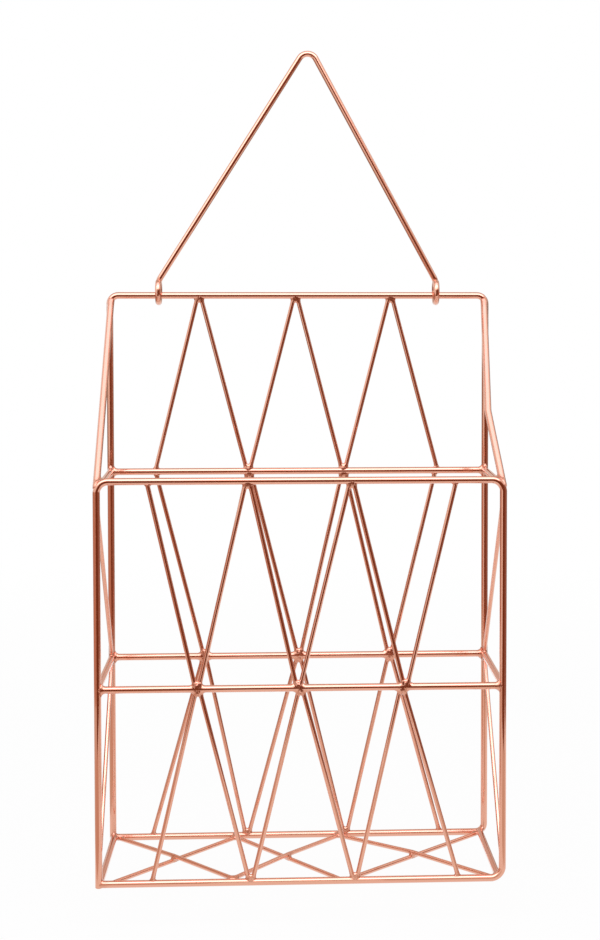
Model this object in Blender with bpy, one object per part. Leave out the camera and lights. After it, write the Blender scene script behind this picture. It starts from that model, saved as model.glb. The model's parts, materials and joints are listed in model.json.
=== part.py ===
# Wall magazine rack of plated steel wire: an open pocket hung from a bent wire hanger.
# Metres, +Z up. The front looks along -Y and the wall is at +Y.
# The origin is where a nail carries the hanger, under the hanger's bend.

import math

import bmesh
import bpy
from mathutils import Matrix, Vector
from mathutils.geometry import intersect_point_line

# Wire
FRAME_WIRE = 0.0043
INFILL_WIRE = 0.0027
HANGER_WIRE = 0.0038
JOINT_GAP = 0.0003

# Pocket, between the centre lines of its frame wires
WIDTH = 0.240
DEPTH = 0.090
BACK_HEIGHT = 0.3488
FRONT_HEIGHT = 0.2391
BACK_CORNER_RADIUS = 0.0055
FRONT_CORNER_RADIUS = 0.007

# Rails, above the bottom wires
BACK_UPPER_RAIL = 0.2363
BACK_MID_RAIL = 0.117
FRONT_MID_RAIL = 0.116
TOP_RAIL_INSET = 0.0036
BOTTOM_RAIL_INSET_LEFT = 0.0006
BOTTOM_RAIL_INSET_RIGHT = 0.0028

# Side braces, from the back frame's top corners to the front frame's
BRACE_HEAD_DROP = 0.0025
BRACE_FOOT_DROP = 0.004
KNEE_DROP = 0.071
KNEE_BOW = 0.0047
KNEE_RADIUS = 0.020

# Side diagonals
DIAGONAL_DROP = 0.010
DIAGONAL_FOOT = 0.006

# Zigzag strips in the back and front, each moved sideways a little as it was welded
ZIGZAG_PITCH = 0.061
ZIGZAG_PEAKS = 3
ZIGZAG_BEND = 0.0021
BACK_TOP_SHIFT = -0.002
BACK_MIDDLE_SHIFT = -0.0013
BACK_BOTTOM_SHIFT = -0.0015
FRONT_UPPER_SHIFT = -0.0002
FRONT_LOWER_SHIFT = 0.0007

# How far each strip's ends and bends stray from their even places, left to right, in pitches
BACK_TOP_STRAYS = (0.028, -0.005, 0.002, 0.002, 0.002, -0.002, -0.002)
BACK_MIDDLE_STRAYS = (0.021, 0.030, 0.0, 0.018, -0.007, -0.022, -0.036)
BACK_BOTTOM_STRAYS = (-0.031, 0.025, -0.029, 0.018, 0.011, -0.015, 0.018)
FRONT_UPPER_STRAYS = (0.018, -0.007, -0.011, -0.026, -0.007, 0.018, 0.011)
FRONT_LOWER_STRAYS = (0.032, -0.013, -0.008, -0.018, 0.007, -0.030, 0.026)

# Crossed strips in the base, with bends measured from the left side
BASE_END_INSET = 0.0036
BASE_NEAR_BEND = 0.079
BASE_FAR_BEND = 0.1455
BASE_BEND = 0.003

# Heights of the upper strip's ends and bends, left to right, from the bottom wires' axis
BASE_OVER_HEIGHTS = (-0.0006, 0.0018, -0.0004, -0.0003)

# Hanger
HANGER_RISE = 0.1535
HANGER_OFFSET = 0.006
HANGER_BEND = 0.006
EYE_LEFT = 0.089
EYE_RIGHT = 0.088
EYE_SLACK = 0.0052
EYE_LEAD = math.radians(20)
EYE_OPENING = math.radians(19)

# How finely bends and round wire are faceted
ARC_STEP = math.radians(25)
EYE_STEP = math.radians(15)
FRAME_SIDES = 12
INFILL_SIDES = 8
SHARP_EDGE = math.radians(50)
TRIM_STEPS = 40
TRIM_SHARE = 0.9

COPPER_PLATE = (0.79, 0.40, 0.29, 1.0)
COPPER_ROUGHNESS = 0.18

FRAME_R = FRAME_WIRE / 2
INFILL_R = INFILL_WIRE / 2
HANGER_R = HANGER_WIRE / 2
HALF = WIDTH / 2
EYE_R = (FRAME_WIRE + EYE_SLACK + HANGER_WIRE) / 2
NAIL_SEAT = Vector((HANGER_OFFSET, 0, HANGER_RISE - HANGER_R))


def level(height):
    # Rack pieces are drawn from the top wire's axis, which the rack turns on
    return height - BACK_HEIGHT


def on_back(u, v):
    return Vector((u, 0, v))


def on_front(u, v):
    return Vector((u, -DEPTH, v))


def tangent_normal(here, there):
    # Left normal of the straight run that leaves one bend and meets the next.
    # A stop is a centre and a radius: above 0 the wire turns right, below 0 left.
    (start, start_radius), (end, end_radius) = here, there
    run = Vector(end) - Vector(start)
    along = run.normalized()
    across = Vector((-along.y, along.x))
    share = (start_radius - end_radius) / run.length
    return along * share + across * math.sqrt(1 - share * share)


def thread(stops, plane):
    # Centre line of a wire bent round each stop in turn
    normals = [tangent_normal(a, b) for a, b in zip(stops, stops[1:])]
    points = [Vector(stops[0][0])]
    for stop, arriving, leaving in zip(stops[1:], normals, normals[1:]):
        centre, radius = stop
        turn = arriving.angle_signed(leaving)
        steps = max(1, math.ceil(abs(turn) / ARC_STEP))
        for step in range(steps + 1):
            swing = Matrix.Rotation(-turn * step / steps, 2)
            points.append(Vector(centre) + radius * (swing @ arriving))
    points.append(Vector(stops[-1][0]))
    return [plane(point.x, point.y) for point in points]


def corner_arc(before, corner, after, radius, arc_step):
    # Round bend of a wire at one corner of its route
    back = (before - corner).normalized()
    ahead = (after - corner).normalized()
    turn = math.pi - back.angle(ahead)
    reach = radius * math.tan(turn / 2)
    centre = corner + (back + ahead).normalized() * math.hypot(radius, reach)
    start = corner + back * reach - centre
    axis = start.cross(ahead)
    steps = max(2, math.ceil(turn / arc_step))
    arc = []
    for step in range(steps + 1):
        swing = Matrix.Rotation(turn * step / steps, 3, axis)
        arc.append(centre + swing @ start)
    return arc


def distance_to(point, path):
    nearest = []
    for a, b in zip(path, path[1:]):
        share = intersect_point_line(point, a, b)[1]
        foot = a.lerp(b, min(1, max(0, share)))
        nearest.append((point - foot).length)
    return min(nearest)


def outer(radius, sides):
    # Corner radius of a faceted wire whose flats touch the round one
    return radius / math.cos(math.pi / sides)


def clearance(end, inward, radius, neighbours):
    # Least room between the rim of a square-cut end and the wires that it meets
    side = inward.orthogonal().normalized()
    rim_radius = outer(radius, FRAME_SIDES)
    room = []
    for corner in range(2 * FRAME_SIDES):
        spin = Matrix.Rotation(math.pi * corner / FRAME_SIDES, 3, inward)
        rim = end + spin @ side * rim_radius
        for path, neighbour_radius in neighbours:
            room.append(distance_to(rim, path) - outer(neighbour_radius, FRAME_SIDES))
    return min(room)


def trim_start(path, radius, neighbours):
    # Cuts a wire back from the wires that its first end is welded to
    inward = (path[1] - path[0]).normalized()
    low = 0
    high = (path[1] - path[0]).length * TRIM_SHARE
    for _ in range(TRIM_STEPS):
        middle = (low + high) / 2
        if clearance(path[0] + inward * middle, inward, radius, neighbours) < JOINT_GAP:
            low = middle
        else:
            high = middle
    return [path[0] + inward * high] + path[1:]


def trim(path, radius, start_neighbours, end_neighbours):
    path = trim_start(path, radius, start_neighbours)
    return trim_start(path[::-1], radius, end_neighbours)[::-1]


def plated_steel(name):
    material = bpy.data.materials.new(name)
    material.use_nodes = True
    shader = material.node_tree.nodes["Principled BSDF"]
    shader.inputs["Base Color"].default_value = COPPER_PLATE
    shader.inputs["Metallic"].default_value = 1.0
    shader.inputs["Roughness"].default_value = COPPER_ROUGHNESS
    material.diffuse_color = COPPER_PLATE
    return material


def draw_wire(name, path, radius, sides, facing, parent):
    # A round profile, with a flat towards facing, is extruded from point to point
    first = (path[1] - path[0]).normalized()
    facing = (facing - first * facing.dot(first)).normalized()
    place = Matrix((facing, first.cross(facing), first)).transposed().to_4x4()
    place.translation = path[0]
    bm = bmesh.new()
    bmesh.ops.create_circle(
        bm,
        cap_ends=True,
        segments=sides,
        radius=outer(radius, sides),
        matrix=place @ Matrix.Rotation(math.pi / sides, 4, "Z"),
    )
    bm.faces.ensure_lookup_table()
    tip = bm.faces[0]
    for index in range(1, len(path)):
        along = (path[index] - path[index - 1]).normalized()
        mitre = along
        if index + 1 < len(path):
            mitre = along + (path[index + 1] - path[index]).normalized()
        grown = bmesh.ops.extrude_face_region(bm, geom=[tip])
        if index > 1:
            bm.faces.remove(tip)
        tip = next(item for item in grown["geom"] if isinstance(item, bmesh.types.BMFace))
        for vert in tip.verts:
            vert.co += along * ((path[index] - vert.co).dot(mitre) / along.dot(mitre))
    bmesh.ops.recalc_face_normals(bm, faces=bm.faces)
    mesh = bpy.data.meshes.new(name)
    bm.to_mesh(mesh)
    bm.free()
    mesh.shade_smooth()
    mesh.set_sharp_from_angle(angle=SHARP_EDGE)
    mesh.materials.append(plated_steel(name))
    piece = bpy.data.objects.new(name, mesh)
    piece.parent = parent
    bpy.context.collection.objects.link(piece)
    return path, radius


def frame_wire(name, path, facing, parent):
    return draw_wire(name, path, FRAME_R, FRAME_SIDES, facing, parent)


def infill_wire(name, path, facing, parent):
    return draw_wire(name, path, INFILL_R, INFILL_SIDES, facing, parent)


def bent_frame(name, height, corner_radius, plane, parent):
    # One wire round the rectangle: its ends meet at the sharp lower left corner
    bottom = level(0)
    top = level(height)
    inner = HALF - corner_radius
    stops = [
        ((-HALF, bottom - FRAME_R), 0),
        ((-inner, top - corner_radius), corner_radius),
        ((inner, top - corner_radius), corner_radius),
        ((inner, bottom + corner_radius), corner_radius),
        ((-HALF + FRAME_R + JOINT_GAP, bottom), 0),
    ]
    return frame_wire(name, thread(stops, plane), Vector((0, 1, 0)), parent)


def cross_rail(name, height, plane, frame, parent):
    path = [plane(-HALF, level(height)), plane(HALF, level(height))]
    return frame_wire(name, trim(path, FRAME_R, [frame], [frame]), Vector((0, 1, 0)), parent)


def zigzag(name, low, high, rising, shift, strays, plane, end_rail, parent):
    # A rising strip starts and ends on the low rail, the others on the high one
    seat = FRAME_R + JOINT_GAP + INFILL_R
    stops = []
    count = 2 * ZIGZAG_PEAKS
    for index in range(count + 1):
        even_place = (index - ZIGZAG_PEAKS) / 2
        across = shift + (even_place + strays[index % len(strays)]) * ZIGZAG_PITCH
        is_low = (index % 2 == 0) == rising
        rail_level = level(low) if is_low else level(high)
        if index in (0, count):
            stops.append(((across, rail_level), 0))
        elif is_low:
            stops.append(((across, rail_level + seat + ZIGZAG_BEND), -ZIGZAG_BEND))
        else:
            stops.append(((across, rail_level - seat - ZIGZAG_BEND), ZIGZAG_BEND))
    path = trim(thread(stops, plane), INFILL_R, [end_rail], [end_rail])
    return infill_wire(name, path, Vector((0, 1, 0)), parent)


def crossing_crests(path, height):
    # Lifts each leg over the other strip, which it crosses halfway from back to front
    middle = -DEPTH / 2
    lifted = path[:1]
    for start, end in zip(path, path[1:]):
        if min(start.y, end.y) < middle < max(start.y, end.y):
            crossing = start.lerp(end, (middle - start.y) / (end.y - start.y))
            crossing.z = height
            reach = (end - start).normalized() * INFILL_WIRE
            reach.z = 0
            lifted += [crossing - reach, crossing + reach]
        lifted.append(end)
    return lifted


def base_strip(name, heights, crest, from_back, neighbours, parent):
    # One bent wire from a corner of the base to the opposite one
    corner = HALF - BASE_END_INSET
    places = [-corner, BASE_NEAR_BEND - HALF, BASE_FAR_BEND - HALF, corner]
    stops = []
    for index, across in enumerate(places):
        at_back = (index % 2 == 0) == from_back
        inset = 0
        radius = 0
        if index in (1, 2):
            reach = FRAME_R + JOINT_GAP + INFILL_R
            inset = math.sqrt(max(0, reach**2 - heights[index] ** 2)) + BASE_BEND
            radius = BASE_BEND if at_back else -BASE_BEND
        stops.append(((across, -inset if at_back else inset - DEPTH), radius))

    def at_height(u, v):
        away = [(Vector(centre) - Vector((u, v))).length for centre, radius in stops]
        return Vector((u, v, level(heights[away.index(min(away))])))

    path = trim(thread(stops, at_height), INFILL_R, neighbours, neighbours)
    if crest is not None:
        path = crossing_crests(path, level(crest))
    return infill_wire(name, path, Vector((0, 0, 1)), parent)


def corner_offset(inset, radius):
    # How far a frame's round corner has left one straight wire, at an inset from the other
    off_centre = max(0, radius - inset)
    return radius - math.sqrt(radius**2 - off_centre**2)


def side_wires(side, sign, back, front, parent):
    # Three rails, a brace and two diagonals that join the back frame to the front
    outward = Vector((sign, 0, 0))
    back_x = sign * HALF
    bottom_inset = BOTTOM_RAIL_INSET_LEFT
    back_rise = 0
    front_rise = 0
    if side == "right":
        bottom_inset = BOTTOM_RAIL_INSET_RIGHT
        back_rise = corner_offset(bottom_inset, BACK_CORNER_RADIUS)
        front_rise = corner_offset(bottom_inset, FRONT_CORNER_RADIUS)
    bottom_x = sign * (HALF - bottom_inset)
    top_x = sign * (HALF - TOP_RAIL_INSET)
    top_drop = corner_offset(TOP_RAIL_INSET, FRONT_CORNER_RADIUS)

    def straight(name, start, end, starts, ends):
        return frame_wire(name, trim([start, end], FRAME_R, starts, ends), outward, parent)

    bottom = straight(
        f"side_rail_bottom_{side}",
        Vector((bottom_x, 0, level(back_rise))),
        Vector((bottom_x, -DEPTH, level(front_rise))),
        [back],
        [front],
    )
    mid = straight(
        f"side_rail_mid_{side}",
        Vector((back_x, 0, level(BACK_MID_RAIL))),
        Vector((back_x, -DEPTH, level(FRONT_MID_RAIL))),
        [back],
        [front],
    )
    top = straight(
        f"side_rail_top_{side}",
        Vector((back_x, 0, level(BACK_UPPER_RAIL))),
        Vector((top_x, -DEPTH, level(FRONT_HEIGHT) - top_drop)),
        [back],
        [front],
    )

    brace_x = sign * (HALF - corner_offset(BRACE_HEAD_DROP, BACK_CORNER_RADIUS))
    brace_head = Vector((brace_x, 0, -BRACE_HEAD_DROP))
    brace_foot = Vector((back_x, -DEPTH, level(FRONT_HEIGHT) - BRACE_FOOT_DROP))
    brace = [brace_head, brace_foot]
    if side == "right":
        knee_share = (KNEE_DROP - BRACE_HEAD_DROP) / (brace_head.z - brace_foot.z)
        knee = brace_head.lerp(brace_foot, knee_share) - outward * KNEE_BOW
        brace[1:1] = corner_arc(brace_head, knee, brace_foot, KNEE_RADIUS, ARC_STEP)
    brace = trim(brace, FRAME_R, [back], [front, top])
    frame_wire(f"side_brace_{side}", brace, outward, parent)

    node = Vector((back_x, 0, level(BACK_MID_RAIL)))
    ends = {
        "upper": level(FRONT_HEIGHT) - DIAGONAL_DROP,
        "lower": level(DIAGONAL_FOOT),
    }
    for name, end_level in ends.items():
        path = [node, Vector((back_x, -DEPTH, end_level))]
        path = trim(path, INFILL_R, [back, mid], [front])
        infill_wire(f"side_diagonal_{name}_{side}", path, outward, parent)
    return bottom


def eye_path(across, apex):
    # From the last straight stretch of a leg, over the top wire to the wall side,
    # under it and up the front to the wire's free end
    centre = Vector((across, 0, EYE_R - HANGER_R - FRAME_R - JOINT_GAP))

    def on_ring(angle):
        return centre + EYE_R * Vector((0, math.sin(angle), math.cos(angle)))

    turn_point = centre + Vector((0, 0, EYE_R / math.cos(EYE_LEAD)))
    ring_start = on_ring(EYE_LEAD)
    turn = (turn_point - apex).angle(ring_start - turn_point)
    lead_radius = EYE_R * math.tan(EYE_LEAD) / math.tan(turn / 2)
    path = corner_arc(apex, turn_point, ring_start, lead_radius, EYE_STEP)
    sweep = 2 * math.pi - EYE_OPENING - EYE_LEAD
    steps = math.ceil(sweep / EYE_STEP)
    for step in range(1, steps + 1):
        path.append(on_ring(EYE_LEAD + sweep * step / steps))
    return turn_point, path


def hanger_path():
    bend_centre = (HANGER_OFFSET, HANGER_RISE - HANGER_BEND)
    apex = Vector((HANGER_OFFSET, 0, HANGER_RISE))
    left_turn = eye_path(-EYE_LEFT, apex)[0]
    right_turn = eye_path(EYE_RIGHT, apex)[0]
    stops = [
        ((left_turn.x, left_turn.z), 0),
        (bend_centre, HANGER_BEND),
        ((right_turn.x, right_turn.z), 0),
    ]
    bend = thread(stops, on_back)[1:-1]
    left = eye_path(-EYE_LEFT, bend[0])[1]
    right = eye_path(EYE_RIGHT, bend[-1])[1]
    return [point - NAIL_SEAT for point in left[::-1] + bend + right]


def anchor(name, place):
    empty = bpy.data.objects.new(name, None)
    empty.location = place
    empty.empty_display_size = DEPTH
    bpy.context.collection.objects.link(empty)
    return empty


def build():
    for item in list(bpy.data.objects):
        bpy.data.objects.remove(item)

    nail = anchor("nail_point", (0, 0, 0))
    draw_wire("hanger", hanger_path(), HANGER_R, FRAME_SIDES, Vector((0, 1, 0)), nail)

    rack = anchor("rack_pivot", -NAIL_SEAT)
    back = bent_frame("back_frame", BACK_HEIGHT, BACK_CORNER_RADIUS, on_back, rack)
    front = bent_frame("front_frame", FRONT_HEIGHT, FRONT_CORNER_RADIUS, on_front, rack)
    back_upper = cross_rail("back_upper_rail", BACK_UPPER_RAIL, on_back, back, rack)
    cross_rail("back_mid_rail", BACK_MID_RAIL, on_back, back, rack)
    cross_rail("front_mid_rail", FRONT_MID_RAIL, on_front, front, rack)

    # Row, rail heights below and above, whether it starts low, shift, strays, rail of its ends
    back_strips = [
        ("top", BACK_UPPER_RAIL, BACK_HEIGHT, True, BACK_TOP_SHIFT, BACK_TOP_STRAYS, back_upper),
        ("middle", BACK_MID_RAIL, BACK_UPPER_RAIL, False, BACK_MIDDLE_SHIFT, BACK_MIDDLE_STRAYS, back_upper),
        ("bottom", 0, BACK_MID_RAIL, True, BACK_BOTTOM_SHIFT, BACK_BOTTOM_STRAYS, back),
    ]
    for row, low, high, rising, shift, strays, end_rail in back_strips:
        zigzag(f"back_zigzag_{row}", low, high, rising, shift, strays, on_back, end_rail, rack)
    front_strips = [
        ("upper", FRONT_MID_RAIL, FRONT_HEIGHT, False, FRONT_UPPER_SHIFT, FRONT_UPPER_STRAYS, front),
        ("lower", 0, FRONT_MID_RAIL, True, FRONT_LOWER_SHIFT, FRONT_LOWER_STRAYS, front),
    ]
    for row, low, high, rising, shift, strays, end_rail in front_strips:
        zigzag(f"front_zigzag_{row}", low, high, rising, shift, strays, on_front, end_rail, rack)

    left_bottom = side_wires("left", -1, back, front, rack)
    right_bottom = side_wires("right", 1, back, front, rack)

    under = INFILL_R - FRAME_R
    over = under + INFILL_WIRE + JOINT_GAP
    neighbours = [back, front, left_bottom, right_bottom]
    base_strip("base_zigzag_under", [under] * 4, None, False, neighbours, rack)
    base_strip("base_zigzag_over", BASE_OVER_HEIGHTS, over, True, neighbours, rack)


build()
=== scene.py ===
import json
import math
import bpy
from mathutils import Matrix, Vector


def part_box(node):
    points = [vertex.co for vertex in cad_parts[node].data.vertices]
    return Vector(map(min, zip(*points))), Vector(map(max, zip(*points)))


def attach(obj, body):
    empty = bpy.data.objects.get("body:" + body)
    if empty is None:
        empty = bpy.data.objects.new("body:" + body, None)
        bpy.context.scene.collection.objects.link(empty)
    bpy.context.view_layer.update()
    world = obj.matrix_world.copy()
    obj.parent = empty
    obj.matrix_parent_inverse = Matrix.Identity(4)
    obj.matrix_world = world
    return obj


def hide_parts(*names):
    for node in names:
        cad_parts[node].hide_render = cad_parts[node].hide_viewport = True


# Wall magazine rack in bright copper plated wire: looks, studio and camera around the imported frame.
# Metres, +Z up. The rack's front looks along -Y, towards the camera.
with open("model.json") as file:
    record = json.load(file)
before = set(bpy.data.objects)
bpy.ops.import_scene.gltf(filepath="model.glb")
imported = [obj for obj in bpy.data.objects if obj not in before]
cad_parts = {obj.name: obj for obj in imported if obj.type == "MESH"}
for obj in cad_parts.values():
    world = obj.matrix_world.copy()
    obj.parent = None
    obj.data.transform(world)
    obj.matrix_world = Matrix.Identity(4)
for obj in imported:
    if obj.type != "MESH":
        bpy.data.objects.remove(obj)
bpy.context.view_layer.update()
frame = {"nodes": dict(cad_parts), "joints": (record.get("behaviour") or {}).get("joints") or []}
pivot = Vector(frame["joints"][0]["pos_m"])  # middle of the top wire's axis, which the rack turns on
print("frame loaded:", len(frame["nodes"]), "nodes, rack turns on", tuple(pivot))

# Wire and how finely it is drawn
wire = {
    "frame": 0.0043,  # diameters
    "infill": 0.0027,
    "hanger": 0.0038,
    "frameSides": 28,
    "infillSides": 22,
    "arcStep": math.radians(7),
    "closeStep": 0.00016,  # between rings at a weld
    "farStep": 0.008,  # between rings on a plain run
    "stepGrowth": 0.16,  # share of the way to the next weld
    "lastStep": 1.5,  # steps that the last stretch of a run may be long
    "tipRound": 0.0005,  # rounded edge of a cut end
    "tipRings": 5,
}
frameR = wire["frame"] / 2
infillR = wire["infill"] / 2
hangerR = wire["hanger"] / 2

# Welds: a hollow fillet with a few grains of weld metal on it, all under the plating
weld = {
    "endSize": 0.0025,  # how far a fillet runs out where a thick wire ends on another
    "thinEndSize": 0.0014,  # where a thin one does
    "bendSize": 0.0026,  # where a bend only touches a rail
    "buttSize": 0.001,  # and where a frame's two ends meet
    "endStretch": 0.008,  # length of wire that counts as an end
    "rootGap": 0.00015,  # a welded end stops this short of the other wire's axis
    "rootFade": 0.0017,  # and its own fillet fades out over this length
    "sink": 0.0002,  # how far a bend is pressed into its rail
    "heatReach": 0.0055,  # how far the plate is browned
    "lump": 0.0012,  # grains of weld metal on a fillet
    "lumpSpan": (0.35, 0.7),  # noise values from which a grain starts and is full
    "lumpReach": 0.0026,
    "railLumps": 0.0009,  # their height on the middle rails
    "stripLumps": 0.0003,  # on the upright strips
    "plainLumps": 0.0001,  # and at the neater welds of the corners and the base
    "rounds": 5,  # tries at a fillet's height
}


def linear(code):
    channels = [int(code[i:i + 2], 16) / 255 for i in (1, 3, 5)]
    return [c / 12.92 if c <= 0.04045 else ((c + 0.055) / 1.055) ** 2.4 for c in channels] + [1.0]


def socketOf(sockets, key):
    if isinstance(key, int):
        return sockets[key]
    return next(socket for socket in sockets if key in (socket.name, socket.identifier))


def addNode(tree, kind, links=None, give=0, **settings):
    # adds a node, sets it up and gives back one of its outputs
    node = tree.nodes.new(kind)
    for name, value in settings.items():
        setattr(node, name, value)
    for key, source in (links or {}).items():
        if isinstance(source, bpy.types.NodeSocket):
            tree.links.new(source, socketOf(node.inputs, key))
        else:
            socketOf(node.inputs, key).default_value = source
    return socketOf(node.outputs, give) if node.outputs else node


# Centre lines

backLow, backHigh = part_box("back_frame")
frontLow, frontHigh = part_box("front_frame")
rack = {
    "half": (backHigh.x - backLow.x) / 2 - frameR,
    "bottom": backLow.z + frameR,
    "backTop": backHigh.z - frameR,
    "frontTop": frontHigh.z - frameR,
    "frontY": (frontLow.y + frontHigh.y) / 2,
    "backCorner": 0.0055,  # bend radii of the two frames
    "frontCorner": 0.007,
}


def railLevel(node):
    low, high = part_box(node)
    return (low.z + high.z) / 2


backUpper = railLevel("back_upper_rail")
backMid = railLevel("back_mid_rail")
frontMid = railLevel("front_mid_rail")


def onBack(u, v):
    return Vector((pivot.x + u, 0, v))


def onFront(u, v):
    return Vector((pivot.x + u, rack["frontY"], v))


def tangentNormal(here, there):
    # left normal of the straight run from one bend to the next; a radius below 0 turns left
    (start, startRadius), (end, endRadius) = here, there
    run = Vector(end) - Vector(start)
    along = run.normalized()
    across = Vector((-along.y, along.x))
    share = (startRadius - endRadius) / run.length
    return along * share + across * math.sqrt(1 - share * share)


def thread(stops, plane):
    # wire bent round each stop (centre, radius) in turn
    normals = [tangentNormal(a, b) for a, b in zip(stops, stops[1:])]
    points = [Vector(stops[0][0])]
    for (centre, radius), arriving, leaving in zip(stops[1:], normals, normals[1:]):
        turn = arriving.angle_signed(leaving)
        steps = max(2, math.ceil(abs(turn) / wire["arcStep"]))
        for step in range(steps + 1):
            points.append(Vector(centre) + radius * (Matrix.Rotation(-turn * step / steps, 2) @ arriving))
    points.append(Vector(stops[-1][0]))
    return [plane(point.x, point.y) for point in points]


def cornerArc(before, corner, after, radius):
    # round bend at one corner of a route
    back = (before - corner).normalized()
    ahead = (after - corner).normalized()
    turn = math.pi - back.angle(ahead)
    reach = radius * math.tan(turn / 2)
    centre = corner + (back + ahead).normalized() * math.hypot(radius, reach)
    start = corner + back * reach - centre
    axis = start.cross(ahead)
    steps = max(3, math.ceil(turn / wire["arcStep"]))
    return [centre + Matrix.Rotation(turn * step / steps, 3, axis) @ start for step in range(steps + 1)]


def rooted(path):
    # both ends are welded, just short of the other wire's axis
    first = (path[1] - path[0]).normalized()
    last = (path[-2] - path[-1]).normalized()
    return [path[0] + first * weld["rootGap"], *path[1:-1], path[-1] + last * weld["rootGap"]]


def bentFrame(top, corner, plane):
    # one wire round the rectangle, butt welded at its sharp lower left corner
    half, bottom = rack["half"], rack["bottom"]
    inner = half - corner
    stops = [
        ((-half, bottom - frameR), 0),
        ((-inner, top - corner), corner),
        ((inner, top - corner), corner),
        ((inner, bottom + corner), corner),
        ((-half + weld["rootGap"], bottom), 0),
    ]
    return thread(stops, plane)


def crossRail(level, plane):
    return rooted([plane(-rack["half"], level), plane(rack["half"], level)])


strips = {
    "pitch": 0.061,
    "peaks": 3,
    "bend": 0.0021,
    "shifts": {  # each strip was welded a little off centre
        "back_zigzag_top": -0.002,
        "back_zigzag_middle": -0.0013,
        "back_zigzag_bottom": -0.0015,
        "front_zigzag_upper": -0.0002,
        "front_zigzag_lower": 0.0007,
    },
    "strays": {  # and bent a little unevenly: ends and bends off their even places, in pitches
        "back_zigzag_top": (0.028, -0.005, 0.002, 0.002, 0.002, -0.002, -0.002),
        "back_zigzag_middle": (0.021, 0.030, 0.0, 0.018, -0.007, -0.022, -0.036),
        "back_zigzag_bottom": (-0.031, 0.025, -0.029, 0.018, 0.011, -0.015, 0.018),
        "front_zigzag_upper": (0.018, -0.007, -0.011, -0.026, -0.007, 0.018, 0.011),
        "front_zigzag_lower": (0.032, -0.013, -0.008, -0.018, 0.007, -0.030, 0.026),
    },
}


def zigzag(name, low, high, rising, plane):
    # a rising strip starts and ends on the low rail, the others on the high one
    bend = strips["bend"]
    seat = frameR + infillR - weld["sink"] + bend
    count = 2 * strips["peaks"]
    stops = []
    for index in range(count + 1):
        place = (index - strips["peaks"]) / 2 + strips["strays"][name][index]
        across = strips["shifts"][name] + place * strips["pitch"]
        isLow = (index % 2 == 0) == rising
        if index in (0, count):
            stops.append(((across, low if isLow else high), 0))
        elif isLow:
            stops.append(((across, low + seat), -bend))
        else:
            stops.append(((across, high - seat), bend))
    return rooted(thread(stops, plane))


base = {
    "near": 0.079,  # bends, from the left side
    "far": 0.1455,
    "bend": 0.003,
    "endInset": 0.0036,
    "overHeights": (-0.0006, 0.0018, -0.0004, -0.0003),  # ends and bends of the upper strip, left to right
    "crest": 0.0017,  # and where it crosses the lower one, pressed into it a little
}
sides = {
    "topInset": 0.0036,
    "bottomInset": {"left": 0.0006, "right": 0.0028},
    "braceHeadDrop": 0.0025,
    "braceFootDrop": 0.004,
    "kneeDrop": 0.071,
    "kneeBow": 0.0047,
    "kneeRadius": 0.020,
    "diagonalDrop": 0.010,
    "diagonalFoot": 0.006,
}


def baseStrip(heights, fromBack, crest=None):
    corner = rack["half"] - base["endInset"]
    places = [-corner, base["near"] - rack["half"], base["far"] - rack["half"], corner]
    stops = []
    for index, across in enumerate(places):
        atBack = (index % 2 == 0) == fromBack
        inset, radius = 0, 0
        if index in (1, 2):
            reach = frameR + infillR - weld["sink"]
            inset = math.sqrt(reach**2 - heights[index] ** 2) + base["bend"]
            radius = base["bend"] if atBack else -base["bend"]
        stops.append(((across, -inset if atBack else rack["frontY"] + inset), radius))

    def atHeight(u, v):
        away = [(Vector(centre) - Vector((u, v))).length for centre, _ in stops]
        return Vector((pivot.x + u, v, rack["bottom"] + heights[away.index(min(away))]))

    path = rooted(thread(stops, atHeight))
    if crest is None:
        return path
    # lifted over the other strip, halfway from back to front
    middle = rack["frontY"] / 2
    lifted = path[:1]
    for a, b in zip(path, path[1:]):
        if min(a.y, b.y) < middle < max(a.y, b.y):
            crossing = a.lerp(b, (middle - a.y) / (b.y - a.y))
            crossing.z = rack["bottom"] + crest
            lifted.append(crossing)
        lifted.append(b)
    return lifted


def cornerOffset(inset, radius):
    # how far a frame's round corner has left one straight wire, at an inset from the other
    offCentre = max(0, radius - inset)
    return radius - math.sqrt(radius**2 - offCentre**2)


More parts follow.
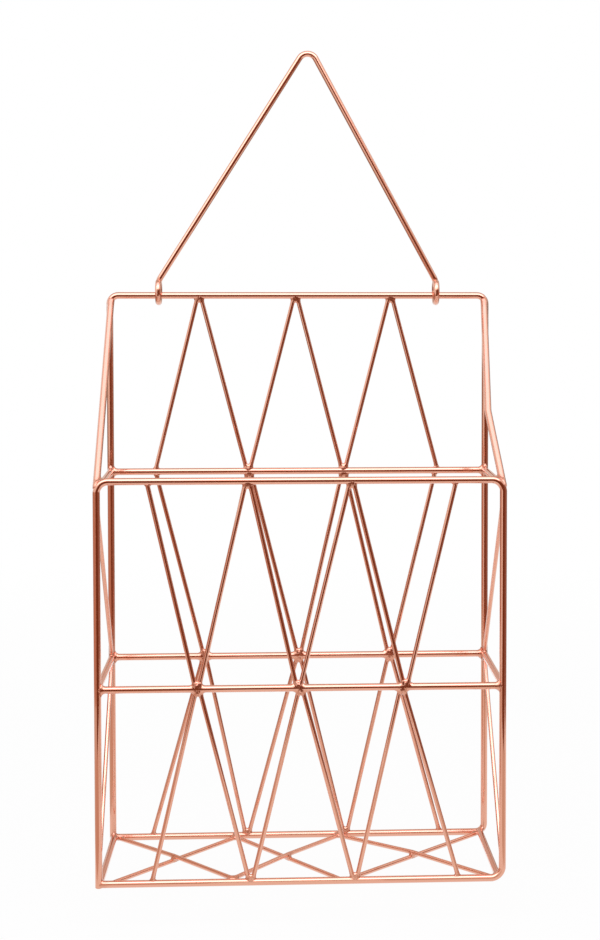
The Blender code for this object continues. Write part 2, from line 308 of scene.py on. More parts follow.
def sideWires(side, sign):
    # three rails, a brace and two diagonals that join the back frame to the front
    backX = sign * rack["half"]
    topX = sign * (rack["half"] - sides["topInset"])
    inset = sides["bottomInset"][side]
    bottomX = sign * (rack["half"] - inset)
    backRise, frontRise = 0, 0
    topDrop = cornerOffset(sides["topInset"], rack["frontCorner"])
    braceX = sign * (rack["half"] - cornerOffset(sides["braceHeadDrop"], rack["backCorner"]))
    braceHead = onBack(braceX, pivot.z - sides["braceHeadDrop"])
    braceFoot = onFront(backX, rack["frontTop"] - sides["braceFootDrop"])
    brace = [braceHead, braceFoot]
    if side == "right":
        backRise = cornerOffset(inset, rack["backCorner"])
        frontRise = cornerOffset(inset, rack["frontCorner"])
        # in the photograph this brace bends in a little
        share = (sides["kneeDrop"] - sides["braceHeadDrop"]) / (braceHead.z - braceFoot.z)
        knee = braceHead.lerp(braceFoot, share) - Vector((sign * sides["kneeBow"], 0, 0))
        brace[1:1] = cornerArc(braceHead, knee, braceFoot, sides["kneeRadius"])
    node = onBack(backX, backMid)
    paths = {
        "side_rail_bottom": [
            onBack(bottomX, rack["bottom"] + backRise),
            onFront(bottomX, rack["bottom"] + frontRise),
        ],
        "side_rail_mid": [node, onFront(backX, frontMid)],
        "side_rail_top": [onBack(backX, backUpper), onFront(topX, rack["frontTop"] - topDrop)],
        "side_brace": brace,
        "side_diagonal_upper": [node, onFront(backX, rack["frontTop"] - sides["diagonalDrop"])],
        "side_diagonal_lower": [node, onFront(backX, rack["bottom"] + sides["diagonalFoot"])],
    }
    return {f"{name}_{side}": rooted(path) for name, path in paths.items()}


hanger = {
    "bend": 0.006,  # radius at the top
    "eyes": (-0.089, 0.088),  # from the rack's middle
    "slack": 0.0052,
    "lead": math.radians(20),
    "opening": math.radians(19),
    "joinGap": 0.0003,
}
eyeR = (wire["frame"] + hanger["slack"] + wire["hanger"]) / 2


def eyePath(across, apex):
    # off the leg, over the top wire to the wall side, under it and up the front to the free end
    centre = onBack(across, pivot.z + eyeR - hangerR - frameR - hanger["joinGap"])

    def onRing(angle):
        return centre + eyeR * Vector((0, math.sin(angle), math.cos(angle)))

    lead = hanger["lead"]
    turnPoint = centre + Vector((0, 0, eyeR / math.cos(lead)))
    ringStart = onRing(lead)
    turn = (turnPoint - apex).angle(ringStart - turnPoint)
    path = cornerArc(apex, turnPoint, ringStart, eyeR * math.tan(lead) / math.tan(turn / 2))
    sweep = 2 * math.pi - hanger["opening"] - lead
    steps = math.ceil(sweep / wire["arcStep"])
    path += [onRing(lead + sweep * step / steps) for step in range(1, steps + 1)]
    return turnPoint, path


def hangerPath():
    # the nail's seat, under the bend, is the origin
    apex = Vector((0, 0, hangerR))
    turns = [eyePath(across, apex)[0] for across in hanger["eyes"]]
    stops = [
        ((turns[0].x, turns[0].z), 0),
        ((apex.x, apex.z - hanger["bend"]), hanger["bend"]),
        ((turns[1].x, turns[1].z), 0),
    ]
    bend = thread(stops, lambda u, v: Vector((u, 0, v)))[1:-1]
    left = eyePath(hanger["eyes"][0], bend[0])[1]
    right = eyePath(hanger["eyes"][1], bend[-1])[1]
    return left[::-1] + bend + right


bentFrames = ("back_frame", "front_frame")
paths = {
    "hanger": hangerPath(),
    "back_frame": bentFrame(rack["backTop"], rack["backCorner"], onBack),
    "front_frame": bentFrame(rack["frontTop"], rack["frontCorner"], onFront),
    "back_upper_rail": crossRail(backUpper, onBack),
    "back_mid_rail": crossRail(backMid, onBack),
    "front_mid_rail": crossRail(frontMid, onFront),
    "back_zigzag_top": zigzag("back_zigzag_top", backUpper, rack["backTop"], True, onBack),
    "back_zigzag_middle": zigzag("back_zigzag_middle", backMid, backUpper, False, onBack),
    "back_zigzag_bottom": zigzag("back_zigzag_bottom", rack["bottom"], backMid, True, onBack),
    "front_zigzag_upper": zigzag("front_zigzag_upper", frontMid, rack["frontTop"], False, onFront),
    "front_zigzag_lower": zigzag("front_zigzag_lower", rack["bottom"], frontMid, True, onFront),
    "base_zigzag_under": baseStrip([infillR - frameR] * 4, False),
    "base_zigzag_over": baseStrip(base["overHeights"], True, base["crest"]),
    **sideWires("left", -1),
    **sideWires("right", 1),
}
print("centre lines drawn:", len(paths))


# Which wires each wire is welded onto
def weldedTo(name):
    if name in ("hanger", *bentFrames):
        return []
    side = name.rsplit("_", 1)[-1]
    if name.startswith("side_brace"):
        return ["back_frame", "front_frame", f"side_rail_top_{side}"]
    if name.startswith("side_diagonal"):
        return ["back_frame", "front_frame", f"side_rail_mid_{side}"]
    if name.startswith("base"):
        return ["back_frame", "front_frame", "side_rail_bottom_left", "side_rail_bottom_right"]
    if name.startswith("side_rail"):
        return ["back_frame", "front_frame"]
    if name.startswith("front"):
        return ["front_frame"] + (["front_mid_rail"] if "zigzag" in name else [])
    return ["back_frame"] + (["back_upper_rail", "back_mid_rail"] if "zigzag" in name else [])


# Rails whose welds to the strips' bends show from the front
stripsOn = {
    "back_mid_rail": ["back_zigzag_middle", "back_zigzag_bottom"],
    "front_mid_rail": ["front_zigzag_upper", "front_zigzag_lower"],
}


# Copper plate

def copperPlate(name, tone):
    # Bright acid copper over drawn steel wire, lacquered: a mirror with a rosy cast, broken by the faint
    # ripple of the plate, long drawing lines under it, and browner, duller metal round the welds.
    material = bpy.data.materials.new(name)
    material.use_nodes = True
    tree = material.node_tree
    shader = tree.nodes["Principled BSDF"]
    shader.inputs["Metallic"].default_value = 1.0
    shader.inputs["Coat Weight"].default_value = tone["lacquer"]
    shader.inputs["Coat Roughness"].default_value = tone["lacquerRough"]
    place = addNode(tree, "ShaderNodeTexCoord", give="Object")
    wireSpot = addNode(tree, "ShaderNodeAttribute", give="Vector", attribute_name="wireSpot")
    heat = addNode(tree, "ShaderNodeAttribute", give="Fac", attribute_name="weldHeat")

    # clouds of tone in the plate, about 30 mm across
    clouds = addNode(
        tree, "ShaderNodeTexNoise", {"Vector": place, "Scale": 1 / tone["cloud"], "Detail": 3.0}, give="Fac"
    )
    plain = addNode(
        tree,
        "ShaderNodeMix",
        {"Factor": clouds, "A_Color": linear(tone["rosy"]), "B_Color": linear(tone["golden"])},
        give="Result_Color",
        data_type="RGBA",
    )
    # weld heat shows through the plate as a browner patch with a ragged edge
    speckle = addNode(
        tree,
        "ShaderNodeTexNoise",
        {"Vector": place, "Scale": 1 / tone["speckle"], "Detail": 4.0},
        give="Fac",
    )
    ragged = addNode(tree, "ShaderNodeMath", {0: heat, 1: speckle}, operation="MULTIPLY")
    tinted = addNode(
        tree,
        "ShaderNodeMix",
        {"Factor": ragged, "A_Color": plain, "B_Color": linear(tone["burnt"])},
        give="Result_Color",
        data_type="RGBA",
    )
    tree.links.new(tinted, shader.inputs["Base Color"])

    thin, thick = tone["cloudSpan"]
    gloss = {"From Min": thin, "From Max": thick, "To Min": tone["glossy"], "To Max": tone["satin"]}
    dull = addNode(tree, "ShaderNodeMapRange", {"Value": clouds, **gloss})
    scorched = addNode(
        tree, "ShaderNodeMath", {0: ragged, 1: tone["weldDull"], 2: dull}, operation="MULTIPLY_ADD"
    )
    tree.links.new(scorched, shader.inputs["Roughness"])

    # drawing lines run along the wire, about 0.3 mm wide so that they show
    across, along = 1 / tone["lineWidth"], 1 / tone["lineLength"]
    stretch = addNode(tree, "ShaderNodeMapping", {"Vector": wireSpot, "Scale": (across, across, along)})
    lines = addNode(
        tree, "ShaderNodeTexNoise", {"Vector": stretch, "Scale": 1.0, "Detail": 2.0}, give="Fac"
    )
    ripple = addNode(
        tree,
        "ShaderNodeTexNoise",
        {"Vector": place, "Scale": 1 / tone["ripple"], "Detail": 1.0},
        give="Fac",
    )
    drawn = addNode(
        tree,
        "ShaderNodeBump",
        {"Strength": tone["lineStrength"], "Distance": tone["lineDepth"], "Height": lines},
    )
    waved = addNode(
        tree,
        "ShaderNodeBump",
        {"Strength": 1.0, "Distance": tone["rippleDepth"], "Height": ripple, "Normal": drawn},
    )
    tree.links.new(waved, shader.inputs["Normal"])
    return material


copper = {
    "rosy": "#E6A68F",
    "golden": "#E4A485",
    "burnt": "#CF8A6C",
    "lacquer": 1.0,
    "lacquerRough": 0.06,
    "cloud": 0.030,  # size, and the noise values between which the gloss changes
    "cloudSpan": (0.3, 0.7),
    "speckle": 0.0012,
    "glossy": 0.10,  # roughness
    "satin": 0.16,
    "weldDull": 0.3,
    "lineWidth": 0.0003,
    "lineLength": 0.030,
    "lineDepth": 0.000003,
    "lineStrength": 0.5,
    "ripple": 0.005,
    "rippleDepth": 0.000015,
}
finishes = {
    "frame_wire": copperPlate("copperPlateFrame", copper),
    "infill_wire": copperPlate("copperPlateInfill", {**copper, "lineWidth": 0.00025, "ripple": 0.003}),
    "hanger_wire": copperPlate("copperPlateHanger", {**copper, "lineLength": 0.045}),
}
print("finishes made:", len(finishes))


# Wires

def weldedWireTree():
    # a tube along the path, drawn out into a fillet towards the wires that it is welded onto
    tree = bpy.data.node_groups.new("weldedWire", "GeometryNodeTree")
    sockets = {
        "Path": "NodeSocketGeometry",
        "Wire Radius": "NodeSocketFloat",
        "Sides": "NodeSocketInt",
        "End Weld": "NodeSocketFloat",
        "Bend Weld": "NodeSocketFloat",
        "Lump Height": "NodeSocketFloat",
        "Frame Lines": "NodeSocketObject",
        "Frame Radius": "NodeSocketFloat",
        "Second Lines": "NodeSocketObject",
        "Second Radius": "NodeSocketFloat",
        "Second From": "NodeSocketFloat",
        "Material": "NodeSocketMaterial",
    }
    for name, kind in sockets.items():
        tree.interface.new_socket(name, in_out="INPUT", socket_type=kind)
    tree.interface.new_socket("Wire", in_out="OUTPUT", socket_type="NodeSocketGeometry")
    given = tree.nodes.new("NodeGroupInput").outputs

    spot = addNode(tree, "GeometryNodeInputPosition")
    along = addNode(tree, "GeometryNodeSplineParameter", give="Length")
    whole = addNode(tree, "GeometryNodeSplineLength", give="Length")
    rest = addNode(tree, "ShaderNodeMath", {0: whole, 1: along}, operation="SUBTRACT")
    toEnd = addNode(tree, "ShaderNodeMath", {0: along, 1: rest}, operation="MINIMUM")
    kept = {
        "axis": ("FLOAT_VECTOR", spot),
        "along": ("FLOAT", along),
        "share": ("FLOAT", along.node.outputs["Factor"]),
        "toEnd": ("FLOAT", toEnd),
    }
    path = given["Path"]
    for name, (kind, value) in kept.items():
        path = addNode(
            tree,
            "GeometryNodeStoreNamedAttribute",
            {"Geometry": path, "Name": name, "Value": value},
            data_type=kind,
            domain="POINT",
        )
    circle = addNode(
        tree,
        "GeometryNodeCurvePrimitiveCircle",
        {"Resolution": given["Sides"], "Radius": given["Wire Radius"]},
        mode="RADIUS",
    )
    circle = addNode(
        tree,
        "GeometryNodeStoreNamedAttribute",
        {"Geometry": circle, "Name": "ring", "Value": spot},
        data_type="FLOAT_VECTOR",
        domain="POINT",
    )
    tipScale = addNode(tree, "GeometryNodeInputRadius")
    tube = addNode(
        tree,
        "GeometryNodeCurveToMesh",
        {"Curve": path, "Profile Curve": circle, "Scale": tipScale, "Fill Caps": True},
    )

    read = {}
    for name in ("ring", *kept):
        kind = kept[name][0] if name in kept else "FLOAT_VECTOR"
        read[name] = addNode(tree, "GeometryNodeInputNamedAttribute", {"Name": name}, data_type=kind)
    offAxis = addNode(tree, "ShaderNodeVectorMath", {0: spot, 1: read["axis"]}, operation="SUBTRACT")
    outward = addNode(tree, "ShaderNodeVectorMath", {0: offAxis}, operation="NORMALIZE")

    frameLines = addNode(tree, "GeometryNodeObjectInfo", {"Object": given["Frame Lines"]}, give="Geometry")
    secondLines = addNode(
        tree, "GeometryNodeObjectInfo", {"Object": given["Second Lines"]}, give="Geometry"
    )
    secondCounts = addNode(
        tree, "FunctionNodeCompare", {0: read["share"], 1: given["Second From"]}, operation="GREATER_EQUAL"
    )
    farAway = 1.0  # no weld

    def roomAt(position):
        # distance to the nearest surface of the wires it is welded onto, and a point on that wire's axis
        rooms, spots = [], []
        for lines, radius in ((frameLines, given["Frame Radius"]), (secondLines, given["Second Radius"])):
            gap = addNode(
                tree,
                "GeometryNodeProximity",
                {"Geometry": lines, "Sample Position": position},
                give="Distance",
                target_element="EDGES",
            )
            found = gap.node.outputs["Is Valid"]
            spots.append(gap.node.outputs["Position"])
            if lines is secondLines:
                found = addNode(
                    tree, "FunctionNodeBooleanMath", {0: found, 1: secondCounts}, operation="AND"
                )
            room = addNode(tree, "ShaderNodeMath", {0: gap, 1: radius}, operation="SUBTRACT")
            rooms.append(
                addNode(
                    tree,
                    "GeometryNodeSwitch",
                    {"Switch": found, "False": farAway, "True": room},
                    input_type="FLOAT",
                )
            )
        nearer = addNode(tree, "ShaderNodeMath", {0: rooms[0], 1: rooms[1]}, operation="MINIMUM")
        bySecond = addNode(tree, "FunctionNodeCompare", {0: rooms[1], 1: rooms[0]}, operation="LESS_THAN")
        axisSpot = addNode(
            tree,
            "GeometryNodeSwitch",
            {"Switch": bySecond, "False": spots[0], "True": spots[1]},
            input_type="VECTOR",
        )
        return nearer, axisSpot

    isEnd = addNode(
        tree, "FunctionNodeCompare", {0: read["toEnd"], 1: weld["endStretch"]}, operation="LESS_THAN"
    )
    size = addNode(
        tree,
        "GeometryNodeSwitch",
        {"Switch": isEnd, "False": given["Bend Weld"], "True": given["End Weld"]},
        input_type="FLOAT",
    )
    firstRoom, axisSpot = roomAt(spot)
    room = firstRoom
    lift = None
    for _ in range(weld["rounds"]):
        # the fillet leaves both wires smoothly where sqrt(lift / size) + sqrt(room / size) is 1
        share = addNode(tree, "ShaderNodeMath", {0: room, 1: size}, operation="DIVIDE", use_clamp=True)
        root = addNode(tree, "ShaderNodeMath", {0: share}, operation="SQRT")
        spare = addNode(tree, "ShaderNodeMath", {0: 1.0, 1: root}, operation="SUBTRACT")
        square = addNode(tree, "ShaderNodeMath", {0: spare, 1: spare}, operation="MULTIPLY")
        wanted = addNode(tree, "ShaderNodeMath", {0: square, 1: size}, operation="MULTIPLY")
        if lift is not None:
            both = addNode(tree, "ShaderNodeMath", {0: lift, 1: wanted}, operation="ADD")
            wanted = addNode(tree, "ShaderNodeMath", {0: both, 1: 0.5}, operation="MULTIPLY")
        lift = wanted
        offset = addNode(tree, "ShaderNodeVectorMath", {0: outward, "Scale": lift}, operation="SCALE")
        lifted = addNode(tree, "ShaderNodeVectorMath", {0: spot, 1: offset}, operation="ADD")
        room, _ = roomAt(lifted)
    outside = addNode(tree, "ShaderNodeMath", {0: firstRoom, 1: 0.0}, operation="GREATER_THAN")
    fade = addNode(
        tree,
        "ShaderNodeMapRange",
        {"Value": read["toEnd"], "From Min": 0.0, "From Max": weld["rootFade"]},
        interpolation_type="SMOOTHSTEP",
    )
    # where both wires face the same way they are flush, and no fillet stands out
    away = addNode(tree, "ShaderNodeVectorMath", {0: spot, 1: axisSpot}, operation="SUBTRACT")
    away = addNode(tree, "ShaderNodeVectorMath", {0: away}, operation="NORMALIZE")
    facing = addNode(
        tree, "ShaderNodeVectorMath", {0: outward, 1: away}, give="Value", operation="DOT_PRODUCT"
    )
    hollow = addNode(tree, "ShaderNodeMath", {0: 1.0, 1: facing}, operation="SUBTRACT", use_clamp=True)
    shown = addNode(tree, "ShaderNodeMath", {0: outside, 1: fade}, operation="MULTIPLY")
    shown = addNode(tree, "ShaderNodeMath", {0: shown, 1: hollow}, operation="MULTIPLY")
    lift = addNode(tree, "ShaderNodeMath", {0: lift, 1: shown}, operation="MULTIPLY")
    grain = addNode(
        tree, "ShaderNodeTexNoise", {"Vector": spot, "Scale": 1 / weld["lump"], "Detail": 1.0}, give="Fac"
    )
    grainStart, grainFull = weld["lumpSpan"]
    height = addNode(
        tree,
        "ShaderNodeMapRange",
        {"Value": grain, "From Min": grainStart, "From Max": grainFull, "To Max": given["Lump Height"]},
    )
    close = addNode(
        tree,
        "ShaderNodeMapRange",
        {"Value": firstRoom, "From Min": weld["lumpReach"], "From Max": 0.0},
        interpolation_type="SMOOTHSTEP",
    )
    lumpy = addNode(tree, "ShaderNodeMath", {0: height, 1: close}, operation="MULTIPLY")
    lumpy = addNode(tree, "ShaderNodeMath", {0: lumpy, 1: fade}, operation="MULTIPLY")
    lumpy = addNode(tree, "ShaderNodeMath", {0: lumpy, 1: hollow}, operation="MULTIPLY")
    lift = addNode(tree, "ShaderNodeMath", {0: lift, 1: lumpy}, operation="ADD")
    offset = addNode(tree, "ShaderNodeVectorMath", {0: outward, "Scale": lift}, operation="SCALE")

    heat = addNode(
        tree,
        "ShaderNodeMapRange",
        {"Value": firstRoom, "From Min": weld["heatReach"], "From Max": 0.0},
        interpolation_type="SMOOTHSTEP",
    )
    lengthwise = addNode(tree, "ShaderNodeCombineXYZ", {"Z": read["along"]})
    wireSpot = addNode(tree, "ShaderNodeVectorMath", {0: read["ring"], 1: lengthwise}, operation="ADD")
    for name, kind, value in (("weldHeat", "FLOAT", heat), ("wireSpot", "FLOAT_VECTOR", wireSpot)):
        tube = addNode(
            tree,
            "GeometryNodeStoreNamedAttribute",
            {"Geometry": tube, "Name": name, "Value": value},
            data_type=kind,
            domain="POINT",
        )
    tube = addNode(tree, "GeometryNodeSetPosition", {"Geometry": tube, "Offset": offset})
    for name in read:
        tube = addNode(tree, "GeometryNodeRemoveAttribute", {"Geometry": tube, "Name": name})
    tube = addNode(tree, "GeometryNodeSetShadeSmooth", {"Geometry": tube})
    tube = addNode(tree, "GeometryNodeRealizeInstances", {"Geometry": tube})
    tube = addNode(tree, "GeometryNodeSetMaterial", {"Geometry": tube, "Material": given["Material"]})
    addNode(tree, "NodeGroupOutput", {"Wire": tube})
    return tree


def distanceTo(point, path):
    nearest = []
    for a, b in zip(path, path[1:]):
        run = b - a
        share = min(1, max(0, (point - a).dot(run) / run.length_squared))
        nearest.append((point - a - run * share).length)
    return min(nearest)


def spaced(path, radius, neighbours):
    # rings close together near a weld, far apart on a plain run
    def stepAt(point):
        room = min([distanceTo(point, other) for other in neighbours], default=1) - radius - frameR
        return min(wire["farStep"], wire["closeStep"] + wire["stepGrowth"] * max(0, room))

    points = [path[0]]
    for a, b in zip(path, path[1:]):
        run = (b - a).length
        walked = 0
        step = stepAt(a)
        while walked + wire["lastStep"] * step < run:
            walked += step
            points.append(a.lerp(b, walked / run))
            step = stepAt(points[-1])
        points.append(b)
    return points


def roundTip(points, radius):
    # a cut end with its edge taken off, as rings that shrink towards the tip
    tip, back = points[0], (points[1] - points[0]).normalized()
    rounding = wire["tipRound"]
    rings = []
    for index in range(wire["tipRings"]):
        angle = math.pi / 2 * index / wire["tipRings"]
        inset = rounding * (1 - math.cos(angle))
        scale = 1 - rounding / radius * (1 - math.sin(angle))
        rings.append((tip + back * inset, scale))
    first = next(i for i, point in enumerate(points) if (point - tip).length > rounding)
    return rings + [(tip + back * rounding, 1.0)] + [(point, 1.0) for point in points[first:]]


def lineObject(name, routes):
    # centre lines as loose edges, for measuring to
    mesh = bpy.data.meshes.new(name)
    verts, edges = [], []
    for route in routes:
        edges += [(len(verts) + i, len(verts) + i + 1) for i in range(len(route) - 1)]
        verts += route
    mesh.from_pydata(verts, edges, [])
    lines = bpy.data.objects.new(name, mesh)
    bpy.context.scene.collection.objects.link(lines)
    return lines


def weldLine(name):
    # a frame's first upright ends under the bottom wire, its welds stop level with that wire
    path = paths[name]
    if name in bentFrames:
        return [path[0] + Vector((0, 0, frameR)), *path[1:]]
    return path


def drawWire(name, tree):
    path = paths[name]
    neighbours = [weldLine(other) for other in weldedTo(name)]
    thin = "zigzag" in name or "diagonal" in name
    kind = "hanger" if name == "hanger" else "infill" if thin else "frame"
    slot = f"{kind}_wire"
    radius = wire[kind] / 2
    endWeld = weld["thinEndSize"] if thin else weld["endSize"]
    lumps = weld["plainLumps"]
    if "zigzag" in name and not name.startswith("base"):
        lumps = weld["stripLumps"]
    second, secondRadius, secondFrom = [], frameR, 0.0
    if name in bentFrames:  # its end is welded to its own start, so the later half looks for the first run
        second, secondFrom = [weldLine(name)[:2]], 0.5
        endWeld = weld["buttSize"]
    if name == "base_zigzag_over":
        second, secondRadius = [paths["base_zigzag_under"]], infillR
    if name in stripsOn:
        second, secondRadius = [paths[strip] for strip in stripsOn[name]], infillR
        lumps = weld["railLumps"]

    line = spaced(path, radius, neighbours + second)
    half = len(line) // 2
    first = [(point, 1.0) for point in line[:half]]
    last = [(point, 1.0) for point in line[half:]]
    if name in ("hanger", *bentFrames):
        first = roundTip(line[:half], radius)
    if name == "hanger":
        last = roundTip(line[:half - 1:-1], radius)[::-1]
    points = first + last
    curve = bpy.data.curves.new(name, "CURVE")
    curve.dimensions = "3D"
    spline = curve.splines.new("POLY")
    spline.points.add(len(points) - 1)
    for spot, (point, scale) in zip(spline.points, points):
        spot.co = (*point, 1)
        spot.radius = scale
    guide = bpy.data.objects.new(f"{name}_path", curve)
    bpy.context.scene.collection.objects.link(guide)
    frameLines = lineObject(f"{name}_frameLines", neighbours)
    secondLines = lineObject(f"{name}_secondLines", second)

    inputs = {
        "Wire Radius": radius,
        "Sides": wire["infillSides"] if thin else wire["frameSides"],
        "End Weld": endWeld,
        "Bend Weld": weld["bendSize"],
        "Lump Height": lumps,
        "Frame Lines": frameLines,
        "Frame Radius": frameR,
        "Second Lines": secondLines,
        "Second Radius": secondRadius,
        "Second From": secondFrom,
        "Material": finishes[slot],
    }
    modifier = guide.modifiers.new("weldedWire", "NODES")
    modifier.node_group = tree
    for item in tree.interface.items_tree:
        if item.name in inputs:
            modifier[item.identifier] = inputs[item.name]
    ready = guide.evaluated_get(bpy.context.evaluated_depsgraph_get())
    mesh = bpy.data.meshes.new_from_object(ready)
    for helper in (guide, frameLines, secondLines):
        bpy.data.objects.remove(helper)

    piece = bpy.data.objects.new(f"{name}_plated", mesh)
    bpy.context.scene.collection.objects.link(piece)
    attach(piece, "hanger" if name == "hanger" else "rack")
    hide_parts(name)
    return piece


wireTree = weldedWireTree()
pieces = [drawWire(name, wireTree) for name in paths]
triangles = sum(len(face.vertices) - 2 for piece in pieces for face in piece.data.polygons)
print("wires drawn:", len(pieces), "pieces,", triangles, "triangles")


# Studio

studio = {
    "floorLevel": -0.528,  # a pale table top, just under the hung rack
    "floorSides": (-0.6, 0.6),
    "floorEnds": (-0.4, 1.8),
    "white": "#FFFFFF",
    "fill": 0.5,  # what the white room gives to matt surfaces
    "floorGlow": 0.95,  # share of the floor's white that holds in the shadow under the rack
    "floorFade": (0.5, 1.5),  # between these distances the floor goes over into the white room
    "boxPlace": (-0.45, -0.96, 0.78),
    "boxTilt": 37,  # degrees towards the rack
    "boxSize": (3.0, 0.9),
    "boxPower": 16.2,
    "boxColour": "#F8F2FF",
    "wallRadius": 2.1,  # cards that stand round the set, out of the picture
    "bandFoot": -1.9,  # heights of their edges
    "frontFoot": -1.75,
    "leftTop": -0.82,
    "bandTop": 0.42,
    "rightFoot": -1.05,
    "flagTop": -0.25,
    "backTop": 0.6,
    "highTop": 0.95,
    "rearTop": 0.75,
    "lowBandRadius": 0.25,  # low glowing sheets in front of the rack, seen only in the wires' reflections: painted reflection
    "lowBandTop": -0.45,
    "nearSheetRadius": 0.27,  # glowing sheets near the rack's left side, seen only in the wires' reflections, paler at their foot: painted reflection
    "nearFootTop": -0.42,
    "nearSheetTop": -0.27,
    "archLevel": -0.25,  # cards that arch overhead do so about this height
    "archEnds": (-1.8, 1.8),
    "cardColumns": 24,
}


def emitter(name, code, strength=1.0):
    # a sheet that glows in this colour by itself, lit by nothing; the dark ones paint shade and the bright
    # ones paint highlights into the wires' reflections
    material = bpy.data.materials.new(name)
    material.use_nodes = True
    tree = material.node_tree
    tree.nodes.clear()
    glow = addNode(tree, "ShaderNodeEmission", {"Color": linear(code), "Strength": strength})
    addNode(tree, "ShaderNodeOutputMaterial", {"Surface": glow})
    return material


def seenRays(tree):
    # camera, glossy and transmission rays see the white room
    path = addNode(tree, "ShaderNodeLightPath", give="Is Camera Ray")
    seen = path
    for ray in ("Is Glossy Ray", "Is Transmission Ray"):
        seen = addNode(tree, "ShaderNodeMath", {0: seen, 1: path.node.outputs[ray]}, operation="MAXIMUM")
    return seen


def whiteRoom():
    world = bpy.data.worlds.new("whiteRoom")
    world.use_nodes = True
    tree = world.node_tree
    tree.nodes.clear()
    level = addNode(
        tree, "ShaderNodeMapRange", {"Value": seenRays(tree), "To Min": studio["fill"], "To Max": 1.0}
    )
    back = addNode(tree, "ShaderNodeBackground", {"Color": linear(studio["white"]), "Strength": level})
    addNode(tree, "ShaderNodeOutputWorld", {"Surface": back})
    bpy.context.scene.world = world


def paleFloor():
    left, right = studio["floorSides"]
    front, back = studio["floorEnds"]
    level = studio["floorLevel"]
    mesh = bpy.data.meshes.new("floor")
    corners = [(left, front, level), (right, front, level), (right, back, level), (left, back, level)]
    mesh.from_pydata(corners, [], [(0, 1, 2, 3)])
    material = bpy.data.materials.new("mattWhitePaper")  # matt, so the object's shadow stays on it
    material.use_nodes = True
    tree = material.node_tree
    tree.nodes.clear()
    matt = addNode(tree, "ShaderNodeBsdfDiffuse", {"Color": linear(studio["white"])})
    glow = addNode(tree, "ShaderNodeEmission", {"Color": linear(studio["white"]), "Strength": 1.0})
    place = addNode(tree, "ShaderNodeTexCoord", give="Object")
    away = addNode(tree, "ShaderNodeVectorMath", {0: place}, give="Value", operation="LENGTH")
    near, far = studio["floorFade"]
    whiter = addNode(
        tree,
        "ShaderNodeMapRange",
        {"Value": away, "From Min": near, "From Max": far, "To Min": studio["floorGlow"], "To Max": 1.0},
    )
    share = addNode(tree, "ShaderNodeMath", {0: seenRays(tree), 1: whiter}, operation="MULTIPLY")
    both = addNode(tree, "ShaderNodeMixShader", {0: share, 1: matt, 2: glow})
    addNode(tree, "ShaderNodeOutputMaterial", {"Surface": both})
    mesh.materials.append(material)
    floor = bpy.data.objects.new("floor", mesh)
    bpy.context.scene.collection.objects.link(floor)


def card(name, radius, start, end, low, high, material, overhead=False):
    # a curved card out of the picture; it stands and its angles go from the camera's side to the right,
    # or it arches overhead and they go up and over to the back. It glows in its material's colour and only
    # glossy rays see it, so it is painted reflection on the wires and casts no shadow.
    mesh = bpy.data.meshes.new(name)
    columns = studio["cardColumns"]
    verts = []
    for column in range(columns + 1):
        angle = math.radians(start + (end - start) * column / columns)
        side = radius * math.sin(angle)
        y = -radius * math.cos(angle)
        for edge in (low, high):
            verts.append((edge, y, studio["archLevel"] + side) if overhead else (side, y, edge))
    faces = [(2 * c, 2 * c + 2, 2 * c + 3, 2 * c + 1) for c in range(columns)]
    mesh.from_pydata(verts, [], faces)
    mesh.materials.append(material)
    sheet = bpy.data.objects.new(name, mesh)
    bpy.context.scene.collection.objects.link(sheet)
    sheet.visible_camera = False
    sheet.visible_shadow = False
    sheet.visible_diffuse = False


def softBox():
    lamp = bpy.data.lights.new("softBox", "AREA")
    lamp.shape = "RECTANGLE"
    lamp.size, lamp.size_y = studio["boxSize"]
    lamp.energy = studio["boxPower"]
    lamp.color = linear(studio["boxColour"])[:3]
    box = bpy.data.objects.new("softBox", lamp)
    box.location = studio["boxPlace"]
    box.rotation_euler = (math.radians(studio["boxTilt"]), 0, 0)
    box.visible_camera = False
    bpy.context.scene.collection.objects.link(box)


whiteRoom()
paleFloor()
softBox()
paintedDarkLine = emitter("paintedDarkLineSheet", "#7B462B")  # painted dark reflection from a glowing sheet: draws the dark line along the wires, fading out low down
paintedFlankShade = emitter("paintedFlankShade", "#9A6E60")  # painted shade in reflection from a glowing sheet: shades the right flanks of upright and slanting wires
paintedEdgeShade = emitter("paintedEdgeShadeSheet", "#A69488")  # painted shade in reflection from a glowing sheet: dims the edges of upright and slanting wires
paintedWarmReflection = emitter("paintedWarmReflection", "#D8BBAC")  # painted warm reflection from a glowing sheet: warms the side rails and, faintly, the low wires
paintedPaleReflection = emitter("paintedPaleReflection", "#DECFC4")  # painted reflection from a glowing sheet: takes the base and the rails' top edges a little under white
paintedHighlightSheet = emitter("paintedHighlightSheet", "#F4EEFF", 2.15)  # painted highlight from a sheet that glows brighter than white: lights the braces and the tops of the rails
paintedBrownReflection = emitter("paintedBrownReflection", "#C89E8B")  # painted reflection from a glowing sheet: browns the hanger's right leg and wires at mid height
paintedWhiteReflection = emitter("paintedWhiteReflection", "#FFFFFF")  # painted pale reflection from a glowing sheet: lifts the low front wires, most in the middle
wall = studio["wallRadius"]
lowBand = studio["lowBandRadius"]
card("frontCard", wall, -24, 40, studio["frontFoot"], studio["bandTop"], paintedDarkLine)
card("frontLeft", wall, -50, -24, studio["frontFoot"], studio["leftTop"], paintedBrownReflection)
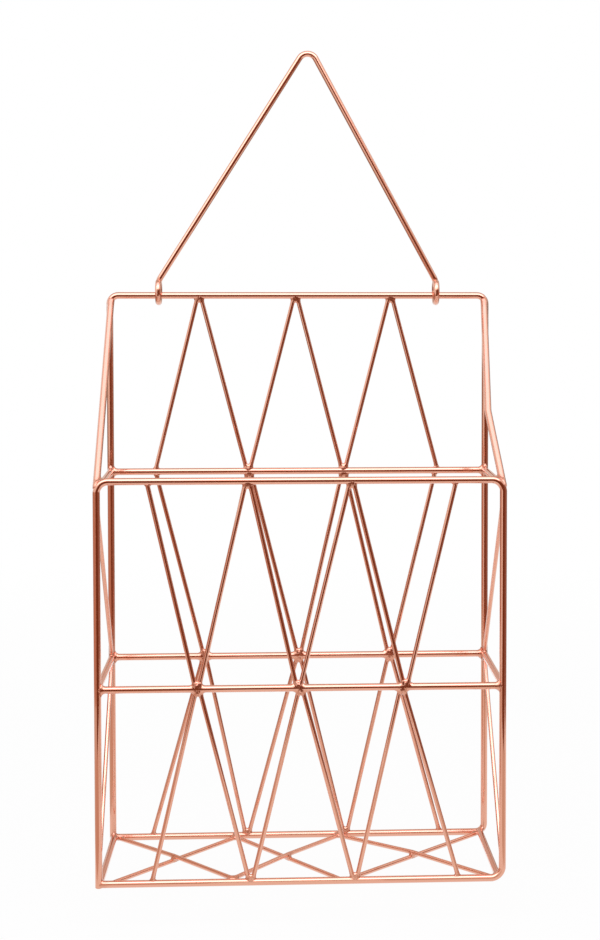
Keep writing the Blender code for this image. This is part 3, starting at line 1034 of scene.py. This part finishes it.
card("rightCard", wall, 40, 100, studio["rightFoot"], studio["bandTop"], paintedFlankShade)
card("rightFlag", wall, 100, 160, studio["bandFoot"], studio["flagTop"], paintedEdgeShade)
card("leftFlag", wall, -160, -70, studio["bandFoot"], studio["flagTop"], paintedEdgeShade)
card("overheadFlag", wall, 88, 164, *studio["archEnds"], paintedPaleReflection, overhead=True)
card("backFlag", wall, 160, 200, studio["bandFoot"], studio["backTop"], paintedWarmReflection)
card("topSheet", wall, 45, 88, *studio["archEnds"], paintedHighlightSheet, overhead=True)
card("rightHigh", wall, 14, 60, studio["bandTop"], studio["highTop"], paintedBrownReflection)
card("leftLip", lowBand, -60, -15, studio["floorLevel"], studio["lowBandTop"], paintedWarmReflection)
card("middleLip", lowBand, -15, 12, studio["floorLevel"], studio["lowBandTop"], paintedWhiteReflection)
card("rightLip", lowBand, 12, 60, studio["floorLevel"], studio["lowBandTop"], paintedPaleReflection)
card("leftScreen", studio["nearSheetRadius"], -110, -40, studio["nearFootTop"], studio["nearSheetTop"], paintedBrownReflection)
card("leftFoot", studio["nearSheetRadius"], -110, -40, studio["floorLevel"], studio["nearFootTop"], paintedPaleReflection)
card("rightRear", wall, 118, 160, studio["flagTop"], studio["rearTop"], paintedEdgeShade)
print("studio set")


# Camera, fitted to the rack's corners in the photograph with the depth taken as 90 mm
view = {
    "size": (600, 940),  # the photograph's, in pixels
    "focal": 1700,  # pixels, for that depth
    "sensor": 36,  # millimetres, along the longer side
    "centre": (360, 380),  # where the lens axis meets the frame
    "eye": (-0.0216, -1.0890, -0.1599),
    "angles": (87.59, 0.02, -2.89),  # degrees
}


def placeCamera():
    lens = bpy.data.cameras.new("camera")
    width, height = view["size"]
    lens.sensor_fit = "AUTO"
    lens.sensor_width = view["sensor"]
    lens.lens = view["focal"] * lens.sensor_width / height
    lens.shift_x = (width / 2 - view["centre"][0]) / height
    lens.shift_y = (view["centre"][1] - height / 2) / height
    camera = bpy.data.objects.new("camera", lens)
    camera.location = view["eye"]
    camera.rotation_euler = [math.radians(angle) for angle in view["angles"]]
    bpy.context.scene.collection.objects.link(camera)
    bpy.context.scene.camera = camera


placeCamera()
bpy.context.scene.view_settings.view_transform = "Standard"
